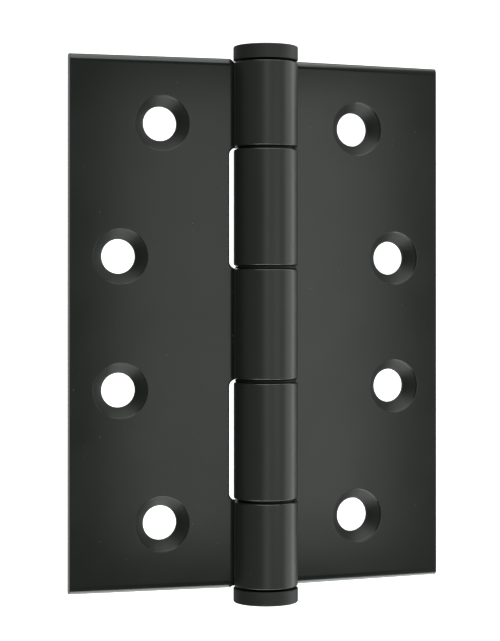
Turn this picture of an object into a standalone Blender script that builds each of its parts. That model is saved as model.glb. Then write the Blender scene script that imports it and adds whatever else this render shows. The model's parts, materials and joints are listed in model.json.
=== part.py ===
"""A door's butt hinge with five knuckles, a fixed pin and two hidden thrust ball bearings.

It stands with its pin upright and is opened a little past flat. Each leaf is one steel strip: flat where
it is screwed down, bent back beside the barrel, then rolled round the pin. The frame leaf holds the
pin, both caps and three knuckles. The door leaf turns on the pin with the other two.

World frame: the origin is on the frame leaf's back face, at the middle of its four screw holes. +X runs
across the leaf to the pin and the door leaf, +Y points into the door frame that the leaf lies on, and
+Z runs up along the pin. Lengths are in metres and angles in radians.
"""

import math

import bmesh
import bpy
from mathutils import Matrix

MM = 0.001

# Leaves. "Reach" is measured outwards from the pin's axis, "behind" is measured towards +Y.
LEAF_HEIGHT = 102 * MM
LEAF_REACH = 38 * MM
LEAF_THICKNESS = 3 * MM
CLOSED_GAP = 2 * MM  # between the two leaves when the hinge is closed
PAST_FLAT = math.radians(7.6)  # how far the door leaf stands past 180 degrees open
EDGE_ROUND = 0.35 * MM
CUTOUT_REACH = 6.8 * MM  # edge of the notch that clears the other leaf's knuckles
TRIM_REACH = 6.6 * MM  # edge of the cuts that shorten the barrel's ends
CUTOUT_CORNER = 1.2 * MM
SWAGE_START = 7.4 * MM  # reach where the leaf starts to bend back
SWAGE_END = 1 * MM  # reach where it runs straight again, along the back of the barrel
SEAM_GAP = 0.15 * MM  # between the end of the roll and the leaf's face

# Barrel. Heights are measured from its middle, which sits a little below the leaves' middle.
BARREL_RADIUS = 6.2 * MM
BARREL_HALF = 50.5 * MM
BARREL_DROP = 0.2 * MM
OUTER_JOINT = 33.85 * MM
INNER_JOINT = 10.9 * MM
OUTER_JOINT_GAP = 0.3 * MM
INNER_JOINT_GAP = 0.45 * MM

# Screw holes
NEAR_COLUMN = 20.15 * MM  # reach of the two holes at the ends
FAR_COLUMN = 28.25 * MM  # reach of the two middle holes
HOLE_PITCH = LEAF_HEIGHT / 4
HOLE_RADIUS = 3.3 * MM
SINK_RADIUS = 5.2 * MM
SINK_WALL = 0.4 * MM  # straight wall above the 90 degree cone
SINK_EDGE_ROUND = 0.2 * MM

# Pin and caps
PIN_RADIUS = 3.15 * MM
PIN_HALF = 46 * MM
PIN_CHAMFER = 0.5 * MM
CAP_RADIUS = 6.25 * MM
CAP_HEIGHT = 2.7 * MM
CAP_GAP = 0.3 * MM  # between a cap and its knuckle
CAP_ROUND = 0.3 * MM  # of its outer edge
CAP_INNER_ROUND = 0.1 * MM  # of the edge next to the knuckle
SPIGOT_RADIUS = 3.12 * MM
SPIGOT_LENGTH = 4 * MM

# Thrust bearings in the outer joints
BALL_COUNT = 8
BALL_RADIUS = 0.794 * MM
BALL_CIRCLE = 4.4 * MM
BALL_PLAY = 0.03 * MM
RACE_INNER = 3.3 * MM
RACE_OUTER = 5.5 * MM
RACE_THICKNESS = 0.9 * MM
GROOVE_DEPTH = 0.35 * MM
GROOVE_RADIUS = 0.85 * MM
CAGE_THICKNESS = 0.6 * MM
CAGE_RIM = 0.1 * MM  # how far the cage stays inside the races' edges
POCKET_PLAY = 0.05 * MM

# Washers that fill the inner joints
WASHER_OUTER = 5.9 * MM
WASHER_THICKNESS = 0.35 * MM

RECESS_PLAY = 0.05 * MM  # round a race in its recess
OVERSHOOT = 1 * MM  # how far a cutter runs past the solid that it cuts
MERGE = 0.001 * MM

# Fineness of the round shapes
ROLL_STEPS = 28
SWAGE_STEPS = 4
EDGE_STEPS = 2
CORNER_STEPS = 4
HOLE_STEPS = 28
BARREL_STEPS = 36
GROOVE_STEPS = 4
BALL_STEPS = (12, 8)

# What follows from the sizes above
BORE_RADIUS = BARREL_RADIUS - LEAF_THICKNESS
FACE_BEHIND = CLOSED_GAP / 2
LEAF_MIDDLE = FACE_BEHIND + LEAF_THICKNESS / 2
LEAF_BACK = FACE_BEHIND + LEAF_THICKNESS
ROLL_RADIUS = BARREL_RADIUS - LEAF_THICKNESS / 2
SWAGE_TURN = 2 * math.atan2(ROLL_RADIUS - LEAF_MIDDLE, SWAGE_START - SWAGE_END)
SWAGE_RADIUS = (SWAGE_START - SWAGE_END) / (2 * math.sin(SWAGE_TURN))
PIN_PLACE = ((NEAR_COLUMN + FAR_COLUMN) / 2, -LEAF_BACK, -BARREL_DROP)
RACE_FACE = BALL_RADIUS + BALL_PLAY - GROOVE_DEPTH  # from the balls' middle to a race's near face
BEARING_RECESS = RACE_FACE + RACE_THICKNESS + RECESS_PLAY


def clear_scene():
    for thing in list(bpy.data.objects):
        bpy.data.objects.remove(thing)


def material(name, colour, metallic, roughness):
    made = bpy.data.materials.new(name)
    made.use_nodes = True
    shader = made.node_tree.nodes["Principled BSDF"]
    shader.inputs["Base Color"].default_value = (*colour, 1)
    shader.inputs["Metallic"].default_value = metallic
    shader.inputs["Roughness"].default_value = roughness
    return made


def coated_steel():
    return material("black_powder_coat", (0.045, 0.047, 0.046), 0, 0.45)


def plain_steel():
    return material("ground_steel", (0.56, 0.56, 0.57), 1, 0.3)


def bearing_steel():
    return material("polished_steel", (0.66, 0.66, 0.67), 1, 0.15)


def black_nylon():
    return material("black_nylon", (0.02, 0.02, 0.02), 0, 0.5)


def empty(name, place=(0, 0, 0), turn=0, parent=None):
    made = bpy.data.objects.new(name, None)
    bpy.context.scene.collection.objects.link(made)
    made.parent = parent
    made.location = place
    made.rotation_euler.z = turn
    return made


def mesh_object(name, shape, parent, finish=None):
    """An object of the bmesh, which it frees. One without a finish is a cutter."""
    bmesh.ops.recalc_face_normals(shape, faces=shape.faces)
    mesh = bpy.data.meshes.new(name)
    shape.to_mesh(mesh)
    shape.free()
    made = bpy.data.objects.new(name, mesh)
    bpy.context.scene.collection.objects.link(made)
    made.parent = parent
    if finish:
        mesh.materials.append(finish)
        mesh.shade_smooth()
        mesh.set_sharp_from_angle(angle=math.radians(30))
    else:
        made.hide_render = True
        made.display_type = "WIRE"
    return made


def cut(target, cutter):
    boolean = target.modifiers.new("cut_" + cutter.name, "BOOLEAN")
    boolean.operation = "DIFFERENCE"
    boolean.solver = "EXACT"
    boolean.object = cutter


def round_edges(target, radius):
    bevel = target.modifiers.new("edge_round", "BEVEL")
    bevel.limit_method = "ANGLE"
    bevel.angle_limit = math.radians(45)
    bevel.width = radius
    bevel.segments = EDGE_STEPS
    bevel.use_clamp_overlap = False


def arc(centre, radius, first, last, steps):
    """Points on an arc from angle first to angle last, both ends included."""
    angles = [first + (last - first) * step / steps for step in range(steps + 1)]
    return [(centre[0] + radius * math.cos(a), centre[1] + radius * math.sin(a)) for a in angles]


def turned(outline, steps, ring=False, shape=None):
    """The (radius, height) outline turned round Z. A ring's outline closes on itself."""
    shape = shape or bmesh.new()
    points = [shape.verts.new((radius, 0, height)) for radius, height in outline]
    edges = [shape.edges.new(pair) for pair in zip(points, points[1:])]
    if ring:
        edges.append(shape.edges.new((points[-1], points[0])))
    bmesh.ops.spin(
        shape, geom=points + edges, cent=(0, 0, 0), axis=(0, 0, 1), angle=math.tau, steps=steps
    )
    bmesh.ops.remove_doubles(shape, verts=shape.verts, dist=MERGE)
    return shape


def prism(outline, near, far, shape):
    """The (x, z) outline as a solid from y = near to y = far, added to the bmesh."""
    face = shape.faces.new([shape.verts.new((x, near, z)) for x, z in outline])
    grown = bmesh.ops.extrude_face_region(shape, geom=[face])["geom"]
    moved = [item for item in grown if isinstance(item, bmesh.types.BMVert)]
    bmesh.ops.translate(shape, verts=moved, vec=(0, far - near, 0))
    return shape


def roll_end():
    """The angle past the +X direction where the roll stops, one seam gap short of the leaf's face."""
    bend = (SWAGE_START, LEAF_MIDDLE + SWAGE_RADIUS)
    clear = SWAGE_RADIUS + LEAF_THICKNESS / 2 + SEAM_GAP
    away = math.hypot(*bend)
    cosine = (BARREL_RADIUS**2 + away**2 - clear**2) / (2 * BARREL_RADIUS * away)
    return math.atan2(bend[1], bend[0]) - math.acos(cosine)


def strip_side(offset):
    """One face of the strip, from the leaf's outer edge to the end of the roll, as (reach, behind) points.

    offset is half the thickness, positive on the face that ends up outside the roll.
    """
    quarter = math.pi / 2
    outer = (SWAGE_START, LEAF_MIDDLE + SWAGE_RADIUS)
    inner = (SWAGE_END, ROLL_RADIUS - SWAGE_RADIUS)
    first_bend = arc(outer, SWAGE_RADIUS - offset, -quarter, -quarter - SWAGE_TURN, SWAGE_STEPS)
    second_bend = arc(inner, SWAGE_RADIUS + offset, quarter - SWAGE_TURN, quarter, SWAGE_STEPS)
    roll = arc((0, 0), ROLL_RADIUS + offset, quarter, math.tau + roll_end(), ROLL_STEPS)
    return [(LEAF_REACH, LEAF_MIDDLE + offset)] + first_bend + second_bend[1:] + roll


def leaf_blank(side):
    """The whole strip before its notches and holes. side is -1 for a leaf that lies towards -X."""
    half = LEAF_THICKNESS / 2
    outline = strip_side(half) + strip_side(-half)[::-1]
    shape = bmesh.new()
    low = BARREL_DROP - LEAF_HEIGHT / 2
    section = shape.faces.new([shape.verts.new((side * x, y, low)) for x, y in outline])
    grown = bmesh.ops.extrude_face_region(shape, geom=[section])["geom"]
    moved = [item for item in grown if isinstance(item, bmesh.types.BMVert)]
    bmesh.ops.translate(shape, verts=moved, vec=(0, 0, LEAF_HEIGHT))
    return shape


def notch_outline(reach, low, high):
    """A notch from height low to high, as (reach, height) points with rounded inner corners."""
    quarter = math.pi / 2
    centre = reach - CUTOUT_CORNER
    far_side = -BARREL_RADIUS - OVERSHOOT
    lower = arc((centre, low + CUTOUT_CORNER), CUTOUT_CORNER, -quarter, 0, CORNER_STEPS)
    upper = arc((centre, high - CUTOUT_CORNER), CUTOUT_CORNER, 0, quarter, CORNER_STEPS)
    return [(far_side, low)] + lower + upper + [(far_side, high)]


def notches(side, spans):
    """Cutter for the notches, one for each (reach, low, high)."""
    shape = bmesh.new()
    depth = BARREL_RADIUS + OVERSHOOT
    for span in spans:
        outline = [(side * reach, height) for reach, height in notch_outline(*span)]
        prism(outline, -depth, depth, shape)
    return shape


def mirrored(reach, low, high):
    """Two notches, the second one mirrored to below the barrel's middle."""
    return [(reach, low, high), (reach, -high, -low)]


def frame_leaf_notches():
    """Room for the door leaf's two knuckles, and the barrel's trimmed ends."""
    beyond = LEAF_HEIGHT / 2 + 2 * OVERSHOOT
    spans = mirrored(CUTOUT_REACH, INNER_JOINT - INNER_JOINT_GAP / 2, OUTER_JOINT + OUTER_JOINT_GAP / 2)
    return notches(-1, spans + mirrored(TRIM_REACH, BARREL_HALF, beyond))


def door_leaf_notches():
    """Room for the frame leaf's three knuckles."""
    beyond = LEAF_HEIGHT / 2 + 2 * OVERSHOOT
    middle = INNER_JOINT + INNER_JOINT_GAP / 2
    ends = mirrored(CUTOUT_REACH, OUTER_JOINT - OUTER_JOINT_GAP / 2, beyond)
    return notches(1, [(CUTOUT_REACH, -middle, middle)] + ends)


def screw_hole():
    """One hole's cutter along Z, with the leaf's countersunk face at height 0 and its back below."""
    cone_end = -SINK_WALL - (SINK_RADIUS - HOLE_RADIUS)
    rim = SINK_RADIUS + SINK_EDGE_ROUND
    edge = arc((rim, -SINK_EDGE_ROUND), SINK_EDGE_ROUND, math.pi / 2, math.pi, EDGE_STEPS)
    wall = [(SINK_RADIUS, -SINK_WALL), (HOLE_RADIUS, cone_end)]
    top = [(0, OVERSHOOT), (rim, OVERSHOOT)]
    bottom = -LEAF_THICKNESS - OVERSHOOT
    outline = top + edge + wall + [(HOLE_RADIUS, bottom), (0, bottom)]
    return turned(outline, HOLE_STEPS)


def screw_holes(side):
    """Cutter for a leaf's four holes: near the barrel at the ends, further out in the middle."""
    places = [(NEAR_COLUMN, 1.5), (FAR_COLUMN, 0.5), (FAR_COLUMN, -0.5), (NEAR_COLUMN, -1.5)]
    holes = bmesh.new()
    face_out = Matrix.Rotation(math.pi / 2, 4, "X")
    for reach, pitches in places:
        single = screw_hole()
        height = BARREL_DROP + pitches * HOLE_PITCH
        place = Matrix.Translation((side * reach, FACE_BEHIND, height))
        single.transform(place @ face_out)
        spare = bpy.data.meshes.new("spare")
        single.to_mesh(spare)
        single.free()
        holes.from_mesh(spare)
        bpy.data.meshes.remove(spare)
    return holes


def bearing_recesses():
    """Cutter for the recesses that hold the two bearings."""
    shape = bmesh.new()
    inside = BORE_RADIUS - OVERSHOOT
    radius = RACE_OUTER + RECESS_PLAY
    for height in (OUTER_JOINT, -OUTER_JOINT):
        low = height - BEARING_RECESS
        high = height + BEARING_RECESS
        corners = [(inside, low), (radius, low), (radius, high), (inside, high)]
        turned(corners, BARREL_STEPS, ring=True, shape=shape)
    return shape


def leaf(name, side, notch_shape, parent, finish):
    """The strip with its rim rounded, then notched, drilled and recessed."""
    made = mesh_object(name, leaf_blank(side), parent, finish)
    round_edges(made, EDGE_ROUND)
    cut(made, mesh_object(name + "_notches", notch_shape, parent))
    cut(made, mesh_object(name + "_screw_holes", screw_holes(side), parent))
    cut(made, mesh_object(name + "_bearing_recesses", bearing_recesses(), parent))


def hinge_pin(parent, finish):
    edge = PIN_RADIUS - PIN_CHAMFER
    shoulder = PIN_HALF - PIN_CHAMFER
    outline = [(0, PIN_HALF), (edge, PIN_HALF), (PIN_RADIUS, shoulder)]
    outline += [(PIN_RADIUS, -shoulder), (edge, -PIN_HALF), (0, -PIN_HALF)]
    mesh_object("hinge_pin", turned(outline, BARREL_STEPS), parent, finish)


def caps(parent, finish):
    """Two equal caps. Each has a spigot in the knuckle's bore and a head that covers its end."""
    under = CAP_GAP
    top = CAP_GAP + CAP_HEIGHT
    rim = CAP_RADIUS - CAP_ROUND
    inner_rim = CAP_RADIUS - CAP_INNER_ROUND
    lower_edge = arc((inner_rim, under + CAP_INNER_ROUND), CAP_INNER_ROUND, 0, -math.pi / 2, EDGE_STEPS)
    upper_edge = arc((rim, top - CAP_ROUND), CAP_ROUND, math.pi / 2, 0, EDGE_STEPS)
    spigot = [(SPIGOT_RADIUS, under), (SPIGOT_RADIUS, -SPIGOT_LENGTH), (0, -SPIGOT_LENGTH)]
    outline = [(0, top)] + upper_edge + lower_edge + spigot
    top_cap = mesh_object("top_cap", turned(outline, BARREL_STEPS), parent, finish)
    top_cap.location.z = BARREL_HALF
    bottom_cap = bpy.data.objects.new("bottom_cap", top_cap.data)
    bpy.context.scene.collection.objects.link(bottom_cap)
    bottom_cap.parent = parent
    bottom_cap.location.z = -BARREL_HALF
    bottom_cap.rotation_euler.x = math.pi


def race(name, facing, height, parent, finish):
    """A grooved ring. facing is 1 if its groove looks up at the balls, -1 if it looks down."""
    near = -RACE_FACE
    back = near - RACE_THICKNESS
    drop = GROOVE_RADIUS - GROOVE_DEPTH
    half_turn = math.acos(drop / GROOVE_RADIUS)
    first = -math.pi / 2 - half_turn
    last = -math.pi / 2 + half_turn
    groove = arc((BALL_CIRCLE, near + drop), GROOVE_RADIUS, first, last, GROOVE_STEPS)
    outline = [(RACE_INNER, near)] + groove + [(RACE_OUTER, near), (RACE_OUTER, back), (RACE_INNER, back)]
    shape = turned([(radius, facing * level) for radius, level in outline], BARREL_STEPS, ring=True)
    mesh_object(name, shape, parent, finish).location.z = height


def cage(name, parent, finish):
    """A flat ring with a pocket for each ball."""
    half = CAGE_THICKNESS / 2
    inner = RACE_INNER + CAGE_RIM
    outer = RACE_OUTER - CAGE_RIM
    ring = turned([(inner, half), (outer, half), (outer, -half), (inner, -half)], BARREL_STEPS, ring=True)
    made = mesh_object(name, ring, parent, finish)
    pockets = bmesh.new()
    for place in ball_places():
        bmesh.ops.create_cone(
            pockets,
            cap_ends=True,
            segments=BALL_STEPS[0],
            radius1=BALL_RADIUS + POCKET_PLAY,
            radius2=BALL_RADIUS + POCKET_PLAY,
            depth=CAGE_THICKNESS + 2 * OVERSHOOT,
            matrix=Matrix.Translation(place),
        )
    cut(made, mesh_object(name + "_pockets", pockets, parent))


def ball_places():
    """The balls' centres, evenly spaced round the pin."""
    angles = [math.tau * (number + 0.5) / BALL_COUNT for number in range(BALL_COUNT)]
    return [(BALL_CIRCLE * math.cos(a), BALL_CIRCLE * math.sin(a), 0) for a in angles]


def balls(prefix, parent, finish):
    for number, place in enumerate(ball_places(), start=1):
        shape = bmesh.new()
        around, down = BALL_STEPS
        bmesh.ops.create_uvsphere(shape, u_segments=around, v_segments=down, radius=BALL_RADIUS)
        mesh_object(f"{prefix}_ball_{number}", shape, parent, finish).location = place


def bearing(prefix, joint, frame_side, pin_axis, door_swing, steel, nylon):
    """A thrust bearing centred on a joint. frame_side is 1 if the frame leaf's knuckle is above it."""
    race(prefix + "_frame_race", -frame_side, joint, pin_axis, steel)
    race(prefix + "_door_race", frame_side, joint, door_swing, steel)
    orbit = empty(prefix + "_ball_orbit", (0, 0, joint), parent=pin_axis)
    cage(prefix + "_ball_cage", orbit, nylon)
    balls(prefix, orbit, steel)


def washer(name, height, parent, finish):
    half = WASHER_THICKNESS / 2
    outline = [(RACE_INNER, half), (WASHER_OUTER, half), (WASHER_OUTER, -half), (RACE_INNER, -half)]
    ring = turned(outline, BARREL_STEPS, ring=True)
    mesh_object(name, ring, parent, finish).location.z = height


def build():
    clear_scene()
    coat = coated_steel()
    steel = bearing_steel()
    nylon = black_nylon()
    pin_axis = empty("pin_axis", PIN_PLACE)
    door_swing = empty("door_swing", turn=PAST_FLAT, parent=pin_axis)
    leaf("frame_leaf", -1, frame_leaf_notches(), pin_axis, coat)
    leaf("door_leaf", 1, door_leaf_notches(), door_swing, coat)
    hinge_pin(pin_axis, plain_steel())
    caps(pin_axis, coat)
    bearing("upper", OUTER_JOINT, 1, pin_axis, door_swing, steel, nylon)
    bearing("lower", -OUTER_JOINT, -1, pin_axis, door_swing, steel, nylon)
    washer("upper_washer", INNER_JOINT, pin_axis, nylon)
    washer("lower_washer", -INNER_JOINT, pin_axis, nylon)


build()
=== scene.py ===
"""The looks of a black door hinge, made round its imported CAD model.

Each leaf is made as its maker makes it: a flat blank is punched, its edges are rounded, its screw holes
are countersunk, and then it is bent back beside the barrel and rolled round the pin.
"""

import json
import math

import bmesh
import bpy
from mathutils import Matrix, Vector


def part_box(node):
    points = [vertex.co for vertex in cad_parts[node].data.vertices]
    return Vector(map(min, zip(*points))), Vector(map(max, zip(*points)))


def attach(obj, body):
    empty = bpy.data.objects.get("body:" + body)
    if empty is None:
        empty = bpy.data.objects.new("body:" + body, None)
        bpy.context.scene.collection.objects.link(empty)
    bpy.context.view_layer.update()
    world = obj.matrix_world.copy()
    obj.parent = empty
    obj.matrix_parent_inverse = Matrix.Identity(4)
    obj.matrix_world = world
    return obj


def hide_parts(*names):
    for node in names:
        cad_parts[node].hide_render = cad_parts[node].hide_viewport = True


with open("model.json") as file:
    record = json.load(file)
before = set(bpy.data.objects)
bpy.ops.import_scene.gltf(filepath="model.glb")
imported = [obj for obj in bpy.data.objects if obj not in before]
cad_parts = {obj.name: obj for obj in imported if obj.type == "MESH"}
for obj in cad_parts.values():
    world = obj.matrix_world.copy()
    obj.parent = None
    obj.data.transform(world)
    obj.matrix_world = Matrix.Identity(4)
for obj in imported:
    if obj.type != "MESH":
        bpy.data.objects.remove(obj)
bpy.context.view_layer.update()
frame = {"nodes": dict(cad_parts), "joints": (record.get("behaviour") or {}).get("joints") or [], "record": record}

MM = 0.001
QUARTER = math.pi / 2

# Places read from the frame
SWING = frame["joints"][0]
PIN = Vector(SWING["pos_m"])
PAST_FLAT = math.radians(-180 - SWING["range_deg"][0])
LEAF_LOW, LEAF_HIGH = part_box("frame_leaf")
LEAF_HEIGHT = LEAF_HIGH.z - LEAF_LOW.z
LEAF_REACH = PIN.x - LEAF_LOW.x
LEAF_BACK = -PIN.y
BARREL_RADIUS = LEAF_HIGH.x - PIN.x
OUTER_JOINT = frame["joints"][1]["pos_m"][2] - PIN.z
INNER_JOINT = sum(corner.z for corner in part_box("upper_washer")) / 2 - PIN.z

# Leaves, as reach from the pin's axis and depth behind it
THICKNESS = 3 * MM
EDGE_DEPTH = 0.8 * MM  # how far down the sides the rounding of the edges goes
RIM_ROUND = 1.5 * MM  # how far in from the upper and lower edges it goes
END_ROUND = 0.15 * MM  # how far in from the outer edge
KNUCKLE_ROUND = 0.4 * MM  # how far in round the knuckles and notches
NOTCH_REACH = 6.8 * MM
NOTCH_ROUND = 1.3 * MM
TRIM_REACH = 6.6 * MM  # where a leaf's edges slope to the barrel's ends
SWAGE_START = 6.9 * MM  # where the strip starts to bend back to the barrel
SWAGE_END = 1 * MM
SEAM_GAP = 0.12 * MM  # between the end of the roll and the bend
OUTER_JOINT_GAP = 0.3 * MM
INNER_JOINT_GAP = 0.45 * MM
RECESS_PLAY = 0.05 * MM  # round the bearings

# Caps
CAP_HEIGHT = 2.7 * MM
CAP_GAP = 0.3 * MM
CAP_ROUND = 0.3 * MM
CAP_INNER_ROUND = 0.1 * MM
SPIGOT_RADIUS = 3.12 * MM
BARREL_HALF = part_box("top_cap")[1].z - PIN.z - CAP_HEIGHT - CAP_GAP

# Screw holes
NEAR_COLUMN = 20.15 * MM
FAR_COLUMN = 28.25 * MM
HOLE_PITCH = LEAF_HEIGHT / 4
HOLE_RADIUS = 3.3 * MM
SINK_RADIUS = 5.2 * MM
SINK_WALL = 0.4 * MM  # straight wall above the cone
SINK_EDGE_ROUND = 0.2 * MM

# Fineness
EDGE_STEPS = 6
CORNER_STEPS = 8
HOLE_STEPS = 96
TURNED_STEPS = 128
BEND_STEP = math.radians(2.5)
OVERSHOOT = 1 * MM  # of a cutter past what it cuts
MERGE = 0.0005 * MM
PARALLEL = 0.001  # sine below which two edges count as one line
SHARP_ANGLE = math.radians(32)

# Coat. Its dullness is roughness on top of that of the leaves' flats
COAT_COLOUR = (0.0095, 0.011, 0.0098)
COAT_SHEEN = (0.93, 1, 0.925, 1)
FLAT_ROUGHNESS = (0.13, 0.17)
BARREL_DULLNESS = 0.22
CAP_DULLNESS = 0.39
SINK_DULLNESS = 0.33
SINK_BLEND = 0.1 * MM  # width over which the countersinks' dullness fades
BARREL_SKIN = 0.01 * MM  # depth of what counts as the barrel's surface
GLOSSY_LEVEL = 0.5
DULL_LEVEL = 0.33
TOOL_MARK = 0.28 * MM
DUST_COLOUR = (0.13, 0.14, 0.13)
DUST_CELL = 1 * MM
DUST_RADIUS = 0.09 * MM
DUST_SHARE = 0.05  # of the cells

# Steel
SCRATCH_STRETCH = 12  # length of a scratch to its width

# Stage, in metres
STAGE_RADIUS = 3
FLOOR_HEIGHT = -0.12
STAGE_FACETS = 64

# Light tent with three windows. Its azimuths are in degrees, 0 in front and positive to +X
FRONT_GLOW = 0.06
SIDE_GLOW = 0.23
BACK_GLOW = 0.5
FRONT_CORNER = 35
BACK_CORNER = 135
CORNER_BLEND = 1  # to either side of a corner
WINDOW_GLOW = {-10: 1.9, 70: 2.5, 100: 4.2}  # at a window's middle, by azimuth
WINDOW_HALF = 15  # from a window's middle to where it has faded into the wall

# Camera, matched to a product photograph taken from the left of the pin
CAMERA_YAW = math.radians(15.24)
CAMERA_PITCH = math.radians(0.24)
CAMERA_DISTANCE = 346.7 * MM
CAMERA_ASIDE = 3.02 * MM
CAMERA_HEIGHT = 6.01 * MM
CAMERA_LENS = 100.9
CAMERA_SHIFT = -0.0566

# Bends, along the strip's middle
LEAF_MIDDLE = LEAF_BACK - THICKNESS / 2
ROLL_RADIUS = BARREL_RADIUS - THICKNESS / 2
SWAGE_TURN = 2 * math.atan2(ROLL_RADIUS - LEAF_MIDDLE, SWAGE_START - SWAGE_END)
SWAGE_RADIUS = (SWAGE_START - SWAGE_END) / (2 * math.sin(SWAGE_TURN))
SWAGE_LENGTH = SWAGE_RADIUS * SWAGE_TURN


# ---- shapes -------------------------------------------------------------------------------------


def arc(centre, radius, first, last, steps):
    """Points on an arc from angle first to angle last, both ends included."""
    angles = [first + (last - first) * step / steps for step in range(steps + 1)]
    return [(centre[0] + radius * math.cos(a), centre[1] + radius * math.sin(a)) for a in angles]


def rounded(corners):
    """An outline of (x, y, width) with each (x, y, radius, width) corner replaced by an arc.

    The width is how far in the edge that starts at the point is rounded.
    """
    outline = []
    for index, (x, y, radius, width) in enumerate(corners):
        if not radius:
            outline.append((x, y, width))
            continue
        here = Vector((x, y))
        before = (Vector(corners[index - 1][:2]) - here).normalized()
        after = (Vector(corners[(index + 1) % len(corners)][:2]) - here).normalized()
        half = before.angle(after) / 2
        centre = here + (before + after).normalized() * (radius / math.sin(half))
        first = here + before * (radius / math.tan(half)) - centre
        last = here + after * (radius / math.tan(half)) - centre
        turn = first.angle_signed(last)
        for step in range(CORNER_STEPS + 1):
            point = centre + Matrix.Rotation(-turn * step / CORNER_STEPS, 2) @ first
            outline.append((point.x, point.y, width))
    return outline


def inset(outline, share):
    """The outline's points moved inwards by that share of each edge's own width."""
    moved = []
    for index, (x, y, width) in enumerate(outline):
        here = Vector((x, y))
        before = here - Vector(outline[index - 1][:2])
        after = Vector(outline[(index + 1) % len(outline)][:2]) - here
        inward_before = Vector((-before.y, before.x)).normalized()
        inward_after = Vector((-after.y, after.x)).normalized()
        turn = inward_before.cross(inward_after)
        first, last = outline[index - 1][2] * share, width * share
        if abs(turn) < PARALLEL:
            moved.append(here + inward_after * last)
            continue
        across = (inward_after * first - inward_before * last) / turn
        moved.append(here + Vector((across.y, -across.x)))
    return moved


def turned(outline, ring=False, shape=None, steps=TURNED_STEPS):
    """The (radius, height) outline turned round Z. A ring's outline closes on itself."""
    shape = shape or bmesh.new()
    points = [shape.verts.new((radius, 0, height)) for radius, height in outline]
    edges = [shape.edges.new(pair) for pair in zip(points, points[1:])]
    if ring:
        edges.append(shape.edges.new((points[-1], points[0])))
    bmesh.ops.spin(
        shape, geom=points + edges, cent=(0, 0, 0), axis=(0, 0, 1), angle=math.tau, steps=steps
    )
    bmesh.ops.remove_doubles(shape, verts=shape.verts, dist=MERGE)
    return shape


def mesh_object(name, shape):
    """Makes the bmesh an object in the scene, and frees it."""
    bmesh.ops.recalc_face_normals(shape, faces=shape.faces)
    mesh = bpy.data.meshes.new(name)
    shape.to_mesh(mesh)
    shape.free()
    made = bpy.data.objects.new(name, mesh)
    bpy.context.scene.collection.objects.link(made)
    return made


def smooth(piece):
    """Smooth shading that keeps flat faces flat beside their rounded edges."""
    piece.data.shade_smooth()
    piece.data.set_sharp_from_angle(angle=SHARP_ANGLE)
    weights = piece.modifiers.new("even_shading", "WEIGHTED_NORMAL")
    weights.keep_sharp = True
    weights.weight = 80


def cut(piece, shape):
    """Cuts the shape, a bmesh, out of the piece's own mesh."""
    cutter = mesh_object("cutter", shape)
    boolean = piece.modifiers.new("cut", "BOOLEAN")
    boolean.operation = "DIFFERENCE"
    boolean.solver = "MANIFOLD"
    boolean.object = cutter
    bpy.context.view_layer.update()
    result = bpy.data.meshes.new_from_object(piece.evaluated_get(bpy.context.evaluated_depsgraph_get()))
    piece.modifiers.clear()
    piece.data = result
    bpy.data.objects.remove(cutter)


# ---- leaves -------------------------------------------------------------------------------------
# A point of a blank is (run, offset, height). run is the reach as far as the first bend, and goes on
# down through zero along the strip. offset is measured from the strip's middle, towards its back.


def roll_end():
    """The angle past straight out from the pin at which the roll stops, just short of the face."""
    bend = Vector((SWAGE_START, LEAF_MIDDLE + SWAGE_RADIUS))
    clear = SWAGE_RADIUS + THICKNESS / 2 + SEAM_GAP
    cosine = (BARREL_RADIUS**2 + bend.length_squared - clear**2) / (2 * BARREL_RADIUS * bend.length)
    return math.atan2(bend.y, bend.x) - math.acos(cosine)


ROLL_TURN = 3 * QUARTER + roll_end()
BLANK_END = SWAGE_START - 2 * SWAGE_LENGTH - SWAGE_END - ROLL_RADIUS * ROLL_TURN


def run_at(reach):
    """The run of the point whose face has this reach, on the flat or in the first bend."""
    if reach >= SWAGE_START:
        return reach
    sine = (SWAGE_START - reach) / (SWAGE_RADIUS + THICKNESS / 2)
    return SWAGE_START - SWAGE_RADIUS * math.asin(sine)


def bent(run, offset):
    """(reach, depth) of a blank's point once the strip is bent and rolled."""
    along = SWAGE_START - run
    if along <= 0:
        return run, LEAF_MIDDLE + offset
    if along <= SWAGE_LENGTH:
        turn = along / SWAGE_RADIUS
        radius = SWAGE_RADIUS - offset
        return SWAGE_START - radius * math.sin(turn), LEAF_MIDDLE + SWAGE_RADIUS - radius * math.cos(turn)
    along -= 2 * SWAGE_LENGTH
    if along <= 0:
        turn = -along / SWAGE_RADIUS
        radius = SWAGE_RADIUS + offset
        return SWAGE_END + radius * math.sin(turn), ROLL_RADIUS - SWAGE_RADIUS + radius * math.cos(turn)
    along -= SWAGE_END
    if along <= 0:
        return -along, ROLL_RADIUS + offset
    turn = QUARTER + along / ROLL_RADIUS
    return (ROLL_RADIUS + offset) * math.cos(turn), (ROLL_RADIUS + offset) * math.sin(turn)


def bend_lines():
    """Runs at which the blank is divided so that its bends come out round."""
    lines = []
    bends = [(SWAGE_START, SWAGE_RADIUS, SWAGE_TURN), (SWAGE_START - SWAGE_LENGTH, SWAGE_RADIUS, SWAGE_TURN)]
    bends.append((SWAGE_START - 2 * SWAGE_LENGTH - SWAGE_END, ROLL_RADIUS, ROLL_TURN))
    for start, radius, turn in bends:
        steps = math.ceil(turn / BEND_STEP)
        lines += [start - radius * turn * step / steps for step in range(steps)]
    return lines


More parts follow.
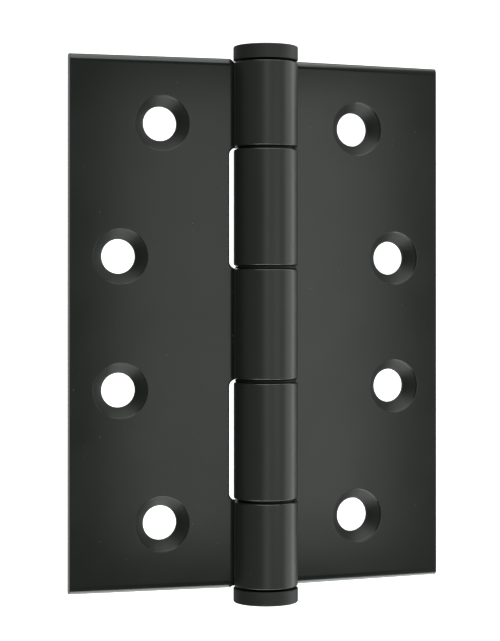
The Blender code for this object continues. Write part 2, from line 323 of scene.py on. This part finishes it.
def blank_outline(knuckles):
    """The blank's outline, anticlockwise from its lower outer corner. knuckles are (low, high) heights,
    from the top down."""
    top = LEAF_HEIGHT / 2
    notch = run_at(NOTCH_REACH)
    trim = run_at(TRIM_REACH)
    corners = [(LEAF_REACH, -top, 0, END_ROUND), (LEAF_REACH, top, 0, RIM_ROUND)]
    for low, high in knuckles:
        if top - high < OVERSHOOT:
            corners.append((trim, top, 0, KNUCKLE_ROUND))
            corners.append((trim - top + high, high, 0, KNUCKLE_ROUND))
        else:
            if high is knuckles[0][1]:
                corners.append((notch, top, 0, KNUCKLE_ROUND))
            corners.append((notch, high, NOTCH_ROUND, KNUCKLE_ROUND))
        corners.append((BLANK_END, high, 0, KNUCKLE_ROUND))
        corners.append((BLANK_END, low, 0, KNUCKLE_ROUND))
        if top + low < OVERSHOOT:
            corners.append((trim - top - low, low, 0, KNUCKLE_ROUND))
            corners.append((trim, -top, 0, RIM_ROUND))
        else:
            corners.append((notch, low, NOTCH_ROUND, KNUCKLE_ROUND))
    if top + knuckles[-1][0] > OVERSHOOT:
        corners.append((notch, -top, 0, RIM_ROUND))
    return rounded(corners)


def hole_places():
    """(reach, height) of a leaf's four screw holes."""
    columns = ((1.5, NEAR_COLUMN), (0.5, FAR_COLUMN), (-0.5, FAR_COLUMN), (-1.5, NEAR_COLUMN))
    return [(reach, pitches * HOLE_PITCH) for pitches, reach in columns]


def countersinks():
    """Cutter for the screw holes of a flat blank, whose face is at offset -THICKNESS / 2."""
    rim = SINK_RADIUS + SINK_EDGE_ROUND
    edge = arc((rim, -SINK_EDGE_ROUND), SINK_EDGE_ROUND, QUARTER, math.pi, EDGE_STEPS)
    cone_end = -SINK_WALL - (SINK_RADIUS - HOLE_RADIUS)
    bottom = -THICKNESS - OVERSHOOT
    outline = [(0, OVERSHOOT), (rim, OVERSHOOT)] + edge
    outline += [(SINK_RADIUS, -SINK_WALL), (HOLE_RADIUS, cone_end), (HOLE_RADIUS, bottom), (0, bottom)]
    shape = bmesh.new()
    for reach, height in hole_places():
        known = set(shape.verts)
        turned(outline, shape=shape, steps=HOLE_STEPS)
        place = Matrix.Translation((reach, -THICKNESS / 2, height)) @ Matrix.Rotation(QUARTER, 4, "X")
        bmesh.ops.transform(shape, matrix=place, verts=[v for v in shape.verts if v not in known])
    return shape


def punched_blank(name, knuckles):
    """A flat blank with rounded edges and countersunk holes."""
    outline = blank_outline(knuckles)
    angles = [QUARTER * step / EDGE_STEPS for step in range(EDGE_STEPS + 1)]
    face_side = [(1 - math.sin(angle), EDGE_DEPTH * (1 - math.cos(angle))) for angle in angles]
    back_side = [(share, THICKNESS - depth) for share, depth in face_side[::-1]]
    shape = bmesh.new()
    rings = []
    for share, depth in face_side + back_side:
        points = inset(outline, share)
        rings.append([shape.verts.new((x, depth - THICKNESS / 2, y)) for x, y in points])
    shape.faces.new(rings[0])
    shape.faces.new(rings[-1][::-1])
    for upper, lower in zip(rings, rings[1:]):
        for here in range(len(outline)):
            shape.faces.new((upper[here - 1], upper[here], lower[here], lower[here - 1]))
    made = mesh_object(name, shape)
    cut(made, countersinks())
    return made


def rolled(blank, place):
    """Bends the blank's mesh into its leaf and puts it in its place."""
    shape = bmesh.new()
    shape.from_mesh(blank.data)
    for line in bend_lines():
        everything = shape.verts[:] + shape.edges[:] + shape.faces[:]
        bmesh.ops.bisect_plane(shape, geom=everything, dist=MERGE, plane_co=(line, 0, 0), plane_no=(1, 0, 0))
    for vertex in shape.verts:
        run, offset, height = vertex.co
        reach, depth = bent(run, offset)
        vertex.co = place @ Vector((reach, depth, height))
    bmesh.ops.recalc_face_normals(shape, faces=shape.faces)
    shape.to_mesh(blank.data)
    shape.free()


def recesses():
    """Cutter for the recesses of the two bearings."""
    shape = bmesh.new()
    inside = BARREL_RADIUS - THICKNESS - OVERSHOOT
    for side in ("upper", "lower"):
        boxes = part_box(side + "_door_race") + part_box(side + "_frame_race")
        low = min(corner.z for corner in boxes) - RECESS_PLAY
        high = max(corner.z for corner in boxes) + RECESS_PLAY
        radius = max(corner.x for corner in boxes) - PIN.x + RECESS_PLAY
        turned([(inside, low), (radius, low), (radius, high), (inside, high)], ring=True, shape=shape)
    bmesh.ops.translate(shape, verts=shape.verts, vec=(PIN.x, PIN.y, 0))
    return shape


def leaf(name, node, body, knuckles, place, finish):
    """One leaf, punched, rolled and put in its place."""
    made = punched_blank(name, knuckles)
    rolled(made, place)
    cut(made, recesses())
    mark_surface(made, place)
    made.data.materials.clear()
    made.data.materials.append(finish)
    smooth(made)
    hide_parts(node)
    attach(made, body)


def mark(piece, name, values):
    """Stores one number for each vertex, which the coat reads."""
    attribute = piece.data.attributes.new(name, "FLOAT", "POINT")
    attribute.data.foreach_set("value", values)


def mark_surface(piece, place):
    """Marks where the tool that sank the screw holes turned and where the coat is duller."""
    inverse = place.inverted()
    points = [inverse @ vertex.co for vertex in piece.data.vertices]
    leaf_back = LEAF_MIDDLE + THICKNESS / 2 - MERGE
    turning = []
    dullness = []
    for point in points:
        away = min(math.hypot(point.x - reach, point.z - height) for reach, height in hole_places())
        turning.append(SINK_RADIUS if point.y > leaf_back else min(away, SINK_RADIUS))
        off_barrel = abs(math.hypot(point.x, point.y) - BARREL_RADIUS)
        dullness.append(BARREL_DULLNESS if off_barrel < BARREL_SKIN else 0)
    mark(piece, "turning", turning)
    mark(piece, "dullness", dullness)


def leaves(finish):
    """The frame leaf with three knuckles and, opened past flat, the door leaf with two."""
    outer = OUTER_JOINT_GAP / 2
    inner = INNER_JOINT_GAP / 2
    base = PIN.z
    frame_knuckles = [
        (base + OUTER_JOINT + outer, base + BARREL_HALF),
        (base - INNER_JOINT + inner, base + INNER_JOINT - inner),
        (base - BARREL_HALF, base - OUTER_JOINT - outer),
    ]
    door_knuckles = [
        (base + INNER_JOINT + inner, base + OUTER_JOINT - outer),
        (base - OUTER_JOINT + outer, base - INNER_JOINT - inner),
    ]
    at_pin = Matrix.Translation((PIN.x, PIN.y, 0))
    mirrored = at_pin @ Matrix.Scale(-1, 4, (1, 0, 0))
    opened = at_pin @ Matrix.Rotation(PAST_FLAT, 4, "Z")
    leaf("frame_leaf_rolled", "frame_leaf", "frame_side", frame_knuckles, mirrored, finish)
    leaf("door_leaf_rolled", "door_leaf", "door_side", door_knuckles, opened, finish)


# ---- caps ---------------------------------------------------------------------------------------


def cap(name, node, facing, finish):
    """A cap's head and its spigot in the knuckle. facing is 1 for the upper cap, -1 for the lower one."""
    low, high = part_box(node)
    top = high.z if facing > 0 else low.z
    whole = high.z - low.z
    radius = (high.x - low.x) / 2
    outer_edge = arc((radius - CAP_ROUND, -CAP_ROUND), CAP_ROUND, QUARTER, 0, EDGE_STEPS)
    inner_centre = (radius - CAP_INNER_ROUND, CAP_INNER_ROUND - CAP_HEIGHT)
    inner_edge = arc(inner_centre, CAP_INNER_ROUND, 0, -QUARTER, EDGE_STEPS)
    spigot = [(SPIGOT_RADIUS, -CAP_HEIGHT), (SPIGOT_RADIUS, -whole), (0, -whole)]
    outline = [(0, 0)] + outer_edge + inner_edge + spigot
    shape = turned([(across, facing * height) for across, height in outline])
    bmesh.ops.translate(shape, verts=shape.verts, vec=(PIN.x, PIN.y, top))
    made = mesh_object(name, shape)
    made.data.materials.append(finish)
    mark(made, "dullness", [CAP_DULLNESS] * len(made.data.vertices))
    mark(made, "turning", [SINK_RADIUS] * len(made.data.vertices))
    smooth(made)
    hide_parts(node)
    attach(made, "frame_side")


# ---- materials ----------------------------------------------------------------------------------


class Nodes:
    """A material under construction: its Principled shader, and short ways to add and join nodes."""

    def __init__(self, name, colour, metallic, roughness):
        self.material = bpy.data.materials.new(name)
        self.material.use_nodes = True
        self.tree = self.material.node_tree
        self.shader = self.tree.nodes["Principled BSDF"]
        self.shader.inputs["Base Color"].default_value = (*colour, 1)
        self.shader.inputs["Metallic"].default_value = metallic
        self.shader.inputs["Roughness"].default_value = roughness
        self.place = self.add("ShaderNodeTexCoord").outputs["Object"]

    def add(self, kind, **settings):
        """A new node. Each setting is one of its inputs or, failing that, one of its properties."""
        node = self.tree.nodes.new(kind)
        for name, value in settings.items():
            if name in node.inputs:
                node.inputs[name].default_value = value
            else:
                setattr(node, name, value)
        return node

    def join(self, source, target):
        self.tree.links.new(source, target)

    def noise(self, size, detail):
        """Noise whose features are of the given size."""
        node = self.add("ShaderNodeTexNoise", Scale=1 / size, Detail=detail)
        self.join(self.place, node.inputs["Vector"])
        return node.outputs["Fac"]

    def spread(self, value, low, high, first=0.0, last=1.0):
        """The value taken from the range first to last to the range low to high."""
        node = self.add("ShaderNodeMapRange")
        self.join(value, node.inputs["Value"])
        node.inputs["From Min"].default_value = first
        node.inputs["From Max"].default_value = last
        node.inputs["To Min"].default_value = low
        node.inputs["To Max"].default_value = high
        return node.outputs["Result"]

    def reckon(self, operation, first, second):
        """The result of the arithmetic on two outputs."""
        node = self.add("ShaderNodeMath", operation=operation)
        self.join(first, node.inputs[0])
        self.join(second, node.inputs[1])
        return node.outputs[0]

    def specks(self, ground, dust, cell, radius, share):
        """Base colour with a round speck of dust in that share of the cells."""
        cells = self.add("ShaderNodeTexVoronoi", Scale=1 / cell)
        self.join(self.place, cells.inputs["Vector"])
        chosen = self.add("ShaderNodeSeparateColor")
        self.join(cells.outputs["Color"], chosen.inputs["Color"])
        few = self.spread(chosen.outputs["Red"], 0, 1, 1 - share, 1.01 - share)
        near = self.spread(cells.outputs["Distance"], 1, 0, 0.5 * radius / cell, radius / cell)
        colour = self.add("ShaderNodeMix", data_type="RGBA")
        colour.inputs["A"].default_value = (*ground, 1)
        colour.inputs["B"].default_value = (*dust, 1)
        self.join(self.reckon("MULTIPLY", few, near), colour.inputs["Factor"])
        self.join(colour.outputs["Result"], self.shader.inputs["Base Color"])

    def rings(self, distance, apart):
        """A wave that goes up and down once in each step of the distance."""
        phase = self.add("ShaderNodeMath", operation="MULTIPLY")
        self.join(distance, phase.inputs[0])
        phase.inputs[1].default_value = math.tau / apart
        wave = self.add("ShaderNodeMath", operation="SINE")
        self.join(phase.outputs[0], wave.inputs[0])
        return wave.outputs[0]

    def bump(self, height, strength, distance, below=None):
        """The normal after this bump, on top of the one below it."""
        node = self.add("ShaderNodeBump", Strength=strength, Distance=distance)
        self.join(height, node.inputs["Height"])
        if below:
            self.join(below, node.inputs["Normal"])
        return node.outputs["Normal"]


def powder_coat():
    """Satin black powder coat: a fine orange peel, a little uneven gloss and a few specks of dust."""
    coat = Nodes("black_powder_coat_look", COAT_COLOUR, 0, FLAT_ROUGHNESS[1])
    coat.shader.inputs["Specular Tint"].default_value = COAT_SHEEN
    coat.specks(COAT_COLOUR, DUST_COLOUR, DUST_CELL, DUST_RADIUS, DUST_SHARE)
    turning = coat.add("ShaderNodeAttribute", attribute_name="turning").outputs["Fac"]
    marked = coat.add("ShaderNodeAttribute", attribute_name="dullness").outputs["Fac"]
    in_sink = coat.spread(turning, SINK_DULLNESS, 0, SINK_RADIUS - SINK_BLEND, SINK_RADIUS)
    dullness = coat.reckon("ADD", marked, in_sink)
    uneven = coat.spread(coat.noise(9 * MM, detail=4), *FLAT_ROUGHNESS, 0.3, 0.7)
    coat.join(coat.reckon("ADD", uneven, dullness), coat.shader.inputs["Roughness"])
    level = coat.spread(dullness, GLOSSY_LEVEL, DULL_LEVEL, BARREL_DULLNESS, CAP_DULLNESS)
    coat.join(level, coat.shader.inputs["Specular IOR Level"])
    tooled = coat.bump(coat.rings(turning, TOOL_MARK), 0.35, 0.01 * MM)
    peeled = coat.bump(coat.noise(0.5 * MM, detail=3), 0.1, 0.02 * MM, below=tooled)
    grained = coat.bump(coat.noise(0.12 * MM, detail=1), 0.15, 0.006 * MM, below=peeled)
    coat.join(grained, coat.shader.inputs["Normal"])
    return coat.material


def steel(name, colour, roughness, scratch):
    """Bare steel with fine marks that run round the pin's axis."""
    metal = Nodes(name, colour, 1, roughness)
    stretch = metal.add("ShaderNodeMapping")
    stretch.inputs["Scale"].default_value = (1, 1, SCRATCH_STRETCH)
    metal.join(metal.place, stretch.inputs["Vector"])
    lines = metal.add("ShaderNodeTexNoise", Scale=1 / scratch, Detail=3)
    metal.join(stretch.outputs["Vector"], lines.inputs["Vector"])
    uneven = metal.spread(lines.outputs["Fac"], roughness - 0.08, roughness + 0.1)
    metal.join(uneven, metal.shader.inputs["Roughness"])
    metal.join(metal.bump(lines.outputs["Fac"], 0.2, 0.004 * MM), metal.shader.inputs["Normal"])
    return metal.material


def nylon():
    """Moulded black nylon with a fine matt grain."""
    plastic = Nodes("black_nylon_look", (0.004, 0.004, 0.004), 0, 0.6)
    plastic.shader.inputs["Specular IOR Level"].default_value = 0.2
    cloud = plastic.noise(0.8 * MM, detail=4)
    plastic.join(plastic.spread(cloud, 0.5, 0.7), plastic.shader.inputs["Roughness"])
    plastic.join(plastic.bump(cloud, 0.3, 0.01 * MM), plastic.shader.inputs["Normal"])
    return plastic.material


def finish_inner_pieces():
    """Better materials for the CAD pieces inside the barrel."""
    ground = steel("ground_steel_look", (0.56, 0.56, 0.57), 0.3, 0.6 * MM)
    polished = steel("polished_steel_look", (0.66, 0.66, 0.67), 0.16, 0.4 * MM)
    looks = {"ground_steel": ground, "polished_steel": polished, "black_nylon": nylon()}
    for part in frame["record"]["subparts"]:
        if part["material_slot"] in looks:
            node = frame["nodes"][part["node"]]
            node.data.materials.clear()
            node.data.materials.append(looks[part["material_slot"]])
            node.data.shade_smooth()
            node.data.set_sharp_from_angle(angle=SHARP_ANGLE)


# ---- stage --------------------------------------------------------------------------------------


def paper():
    """White studio paper, lit so evenly that it shows no shade."""
    white = Nodes("studio_paper", (0.9, 0.9, 0.9), 0, 0.9)
    white.shader.inputs["Emission Color"].default_value = (1, 1, 1, 1)
    white.shader.inputs["Emission Strength"].default_value = 1.0
    return white.material


def white_stage():
    """A plain pale floor, and a round backdrop behind it. Neither one lights the hinge."""
    finish = paper()
    floor = bmesh.new()
    bmesh.ops.create_circle(floor, cap_ends=True, segments=STAGE_FACETS, radius=STAGE_RADIUS)
    bmesh.ops.translate(floor, verts=floor.verts, vec=(PIN.x, PIN.y, FLOOR_HEIGHT))
    backdrop = bmesh.new()
    bmesh.ops.create_uvsphere(
        backdrop, u_segments=STAGE_FACETS, v_segments=STAGE_FACETS // 2, radius=STAGE_RADIUS
    )
    bmesh.ops.translate(backdrop, verts=backdrop.verts, vec=(PIN.x, PIN.y, FLOOR_HEIGHT))
    for name, shape in (("paper_floor", floor), ("paper_backdrop", backdrop)):
        sheet = mesh_object(name, shape)
        sheet.data.materials.append(finish)
        sheet.visible_diffuse = False
        sheet.visible_glossy = False
        sheet.visible_shadow = False


def softbox(name, azimuth, elevation, distance, wide, tall, power):
    """An area light that faces the barrel's middle. Azimuth is in degrees, 0 in front and positive to +X."""
    light = bpy.data.lights.new(name, "AREA")
    light.shape = "RECTANGLE"
    light.size = wide
    light.size_y = tall
    light.energy = power
    lamp = bpy.data.objects.new(name, light)
    lamp.visible_camera = False
    bpy.context.scene.collection.objects.link(lamp)
    across, up = math.radians(azimuth), math.radians(elevation)
    away = Vector((math.sin(across) * math.cos(up), -math.cos(across) * math.cos(up), math.sin(up)))
    lamp.location = PIN + away * distance
    lamp.rotation_euler = away.to_track_quat("Z", "Y").to_euler()


def wall_glow(azimuth):
    """Brightness of the tent's wall at an azimuth, away from its windows."""
    if abs(azimuth) < FRONT_CORNER:
        return FRONT_GLOW
    return SIDE_GLOW if abs(azimuth) < BACK_CORNER else BACK_GLOW


def tent_glow():
    """(azimuth, brightness) pairs round the tent, one wherever its brightness changes course."""
    edges = [-180]
    for side in (-1, 1):
        edges += [middle + side * WINDOW_HALF for middle in WINDOW_GLOW]
        for corner in (FRONT_CORNER, BACK_CORNER):
            edges += [side * (corner - CORNER_BLEND), side * (corner + CORNER_BLEND)]
    walls = {azimuth: wall_glow(azimuth) for azimuth in edges}
    return sorted({**walls, **WINDOW_GLOW}.items())


def tent():
    """World light like that from a light tent, the same at all heights."""
    world = bpy.data.worlds.new("light_tent")
    bpy.context.scene.world = world
    world.use_nodes = True
    tree = world.node_tree
    direction = tree.nodes.new("ShaderNodeTexCoord").outputs["Generated"]
    apart = tree.nodes.new("ShaderNodeSeparateXYZ")
    tree.links.new(direction, apart.inputs[0])
    ahead = tree.nodes.new("ShaderNodeMath")
    ahead.operation = "MULTIPLY"
    ahead.inputs[1].default_value = -1
    tree.links.new(apart.outputs["Y"], ahead.inputs[0])
    azimuth = tree.nodes.new("ShaderNodeMath")
    azimuth.operation = "ARCTAN2"
    tree.links.new(apart.outputs["X"], azimuth.inputs[0])
    tree.links.new(ahead.outputs[0], azimuth.inputs[1])
    turn = tree.nodes.new("ShaderNodeMapRange")
    turn.inputs["From Min"].default_value = -math.pi
    turn.inputs["From Max"].default_value = math.pi
    tree.links.new(azimuth.outputs[0], turn.inputs["Value"])
    walls = tree.nodes.new("ShaderNodeValToRGB")
    tree.links.new(turn.outputs["Result"], walls.inputs["Fac"])
    stops = walls.color_ramp.elements
    brightest = max(WINDOW_GLOW.values())
    stops.remove(stops[1])
    stops[0].position = 0
    for index, (angle, level) in enumerate(tent_glow()):
        stop = stops[0] if index == 0 else stops.new(angle / 360 + 0.5)
        stop.position = angle / 360 + 0.5
        grey = level / brightest
        stop.color = (grey, grey, grey, 1)
    background = tree.nodes["Background"]
    background.inputs["Strength"].default_value = brightest
    tree.links.new(walls.outputs["Color"], background.inputs["Color"])


def studio_light():
    """Softboxes ahead, above and below, in a tent whose windows are brightest at the right."""
    softbox("key", azimuth=22.8, elevation=-0.5, distance=0.47, wide=0.256, tall=0.22, power=0.205)
    softbox("side_key", azimuth=28, elevation=-0.5, distance=0.47, wide=0.13, tall=0.22, power=0.033)
    softbox("top", azimuth=0, elevation=64, distance=0.5, wide=0.6, tall=0.5, power=2.6)
    softbox("bottom", azimuth=0, elevation=-85, distance=0.5, wide=0.6, tall=0.5, power=5)
    tent()


def camera():
    """The camera, left of the pin and turned towards it."""
    lens = bpy.data.cameras.new("photo_camera")
    lens.lens = CAMERA_LENS
    lens.shift_y = CAMERA_SHIFT
    lens.clip_start = 0.01
    made = bpy.data.objects.new("photo_camera", lens)
    bpy.context.scene.collection.objects.link(made)
    ahead = Vector((math.sin(CAMERA_YAW), math.cos(CAMERA_YAW), 0))
    right = Vector((math.cos(CAMERA_YAW), -math.sin(CAMERA_YAW), 0))
    made.location = Vector((PIN.x, PIN.y, CAMERA_HEIGHT)) - ahead * CAMERA_DISTANCE - right * CAMERA_ASIDE
    made.rotation_euler = (QUARTER + CAMERA_PITCH, 0, -CAMERA_YAW)
    bpy.context.scene.camera = made
    bpy.context.scene.view_settings.view_transform = "Standard"


camera()
coat = powder_coat()
leaves(coat)
cap("top_cap_turned", "top_cap", 1, coat)
cap("bottom_cap_turned", "bottom_cap", -1, coat)
finish_inner_pieces()
white_stage()
studio_light()
